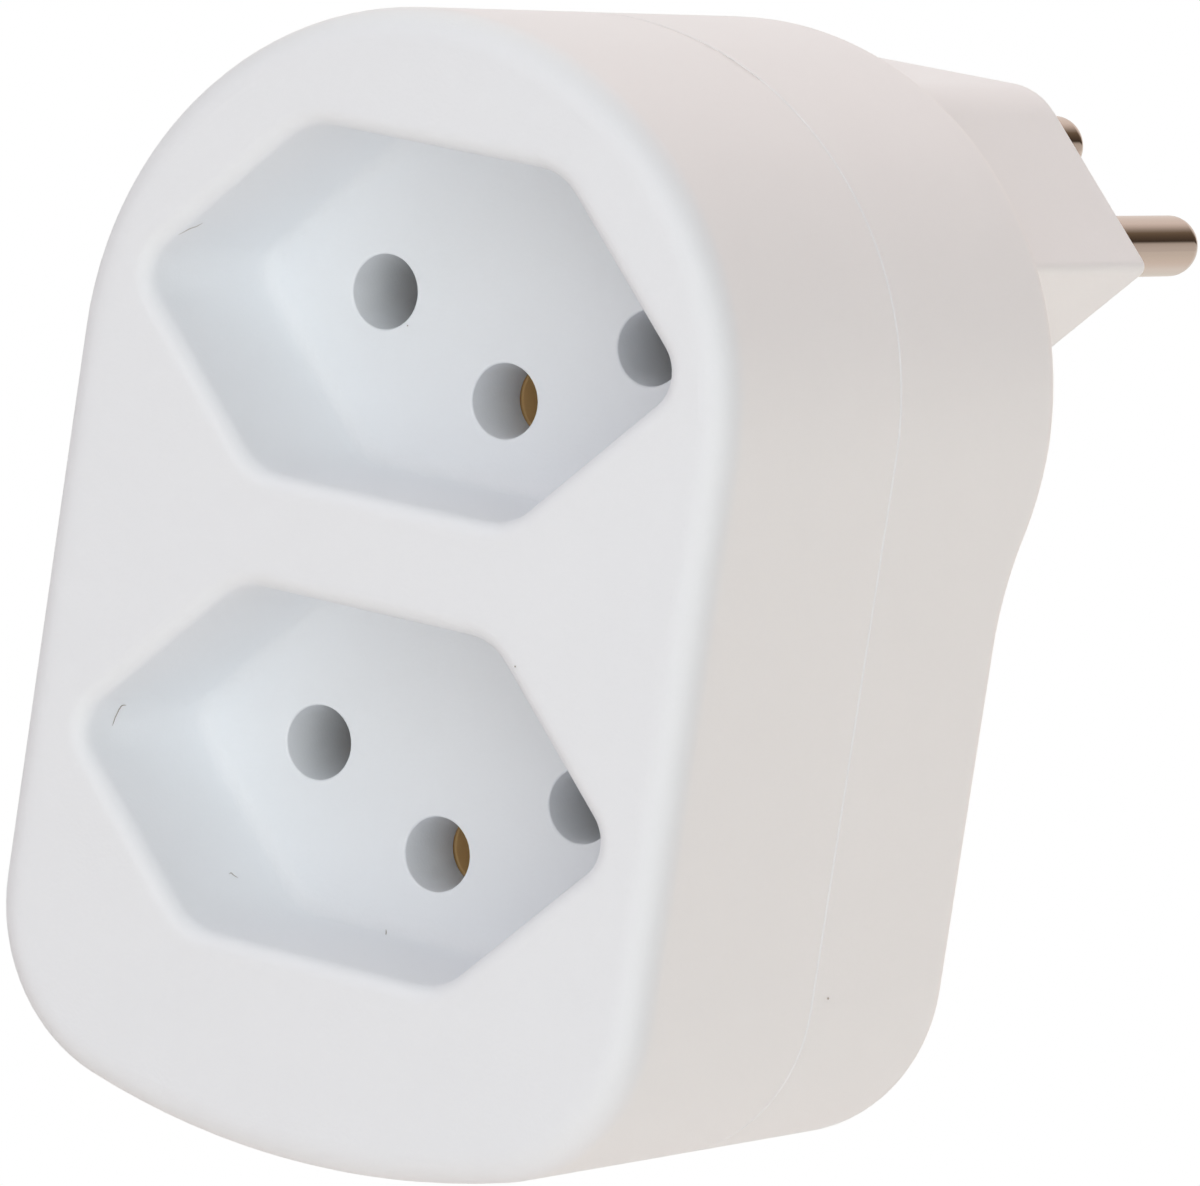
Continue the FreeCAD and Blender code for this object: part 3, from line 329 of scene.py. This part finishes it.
# Lint: a few grey fibres and specks of dust that cling to the shells. Each is its thickness and a row
# of points on the case, in millimetres.
LINT = (
    (0.040, (-17.03, -60.13, -3.56), (-16.69, -59.85, -3.25), (-16.51, -59.62, -3.06),
     (-16.36, -59.23, -2.92), (-16.11, -59.02, -2.66)),
    (0.075, (-18.19, -57.82, -34.06), (-18.19, -57.69, -33.70), (-18.12, -57.57, -33.25),
     (-18.05, -57.52, -32.99), (-17.95, -57.50, -32.79), (-17.92, -57.34, -32.73), (-17.92, -57.01, -32.74)),
    (0.055, (-11.07, -53.50, -42.03), (-11.10, -53.23, -41.99), (-11.00, -53.14, -42.09),
     (-10.82, -52.80, -42.27)),
    (0.060, (-2.57, -48.33, -44.01), (-2.35, -48.64, -44.11), (-2.14, -48.96, -44.21)),
    (0.140, (22.95, -38.42, -43.43), (22.95, -38.29, -43.45)),
    (0.110, (11.11, -60.97, -24.30), (11.19, -60.97, -24.32)),
    (0.100, (-7.53, -48.00, -7.50), (-7.51, -48.00, -7.58)),
)
SIDES, STEPS = 8, 24
CLOSED_END = 0.02


def fibre(thickness, points):
    """Tube along a chain of points, drawn on to the shells, as an array of steps x sides x 3.

    The line passes through the points by cubic steps. Each is the sum of four neighbours, weighted so
    that the slope at a point is half the way from the one before it to the one after it. The line is
    then set on the nearest skin, a third of its thickness proud. The radius is half the thickness
    times the square root of a half turn's sine, so that both ends close.
    """
    chain = np.array(points)
    chain = np.concatenate([[2 * chain[0] - chain[1]], chain, [2 * chain[-1] - chain[-2]]])
    at = np.linspace(0, len(chain) - 3 - 1e-6, STEPS)
    start = at.astype(int)
    t = (at - start)[:, None]
    a, b, c, d = (chain[start + shift] for shift in range(4))
    line = 0.5 * (2 * b + (c - a) * t + (2 * a - 5 * b + 4 * c - d) * t ** 2
                  + (3 * b - a - 3 * c + d) * t ** 3)
    shells = (nodes["front_cover"], nodes["rear_housing"])
    near = [[shell.closest_point_on_mesh(Vector(point) * MM) for shell in shells] for point in line.tolist()]
    best = [min(both, key=lambda found, point=point: (found[1] - Vector(point) * MM).length)
            for both, point in zip(near, line.tolist())]
    skin_point = np.array([found[1] for found in best]) / MM
    out = np.array([found[2] for found in best])
    line = skin_point + out * thickness / 3
    along = np.gradient(line, axis=0)
    along /= np.linalg.norm(along, axis=1, keepdims=True)
    across = np.cross(along, out)
    across /= np.linalg.norm(across, axis=1, keepdims=True)
    up = np.cross(across, along)
    swell = np.sqrt(np.sin(np.linspace(CLOSED_END, math.pi - CLOSED_END, STEPS)))
    radius = (thickness / 2 * swell)[:, None, None]
    turn = np.linspace(0, 2 * math.pi, SIDES, endpoint=False)[None, :, None]
    return line[:, None] + radius * (np.cos(turn) * across[:, None] + np.sin(turn) * up[:, None])


points, faces = [], []
step, side = np.meshgrid(np.arange(STEPS - 1), np.arange(SIDES), indexing="ij")
for number, (thickness, *chain) in enumerate(LINT):
    points.append(fibre(thickness, chain).reshape(-1, 3) * MM)
    first = number * STEPS * SIDES
    near_side, far_side = first + step * SIDES + side, first + step * SIDES + (side + 1) % SIDES
    faces += np.stack([near_side, far_side, far_side + SIDES, near_side + SIDES],
                      axis=-1).reshape(-1, 4).tolist()
    faces.append(list(range(first + SIDES - 1, first - 1, -1)))
    faces.append(list(range(first + (STEPS - 1) * SIDES, first + STEPS * SIDES)))
lint_mesh = bpy.data.meshes.new("lint")
lint_mesh.from_pydata(np.concatenate(points).tolist(), [], faces)
lint_mesh.polygons.foreach_set("use_smooth", [True] * len(lint_mesh.polygons))
lint = bpy.data.objects.new("lint", lint_mesh)
bpy.context.scene.collection.objects.link(lint)
COTTON, COTTON_SHADE, TWIST_MM = "#B9B3AC", "#989189", 0.15
fluff, tree, place = new_material("grey_cotton_lint")
twist = add_node(tree, "ShaderNodeTexNoise", {"Scale": 1 / (TWIST_MM * MM), "Detail": 2.0}, Vector=place)
tint = add_node(tree, "ShaderNodeMix", {"data_type": "RGBA", 6: linear(COTTON), 7: linear(COTTON_SHADE)},
                i0=twist.outputs["Fac"])
skin = add_node(tree, "ShaderNodeBsdfPrincipled", {"Roughness": 0.9}, Base_Color=tint.outputs[2])
add_node(tree, "ShaderNodeOutputMaterial", Surface=skin.outputs[0])
lint_mesh.materials.append(fluff)
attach(lint, "root")
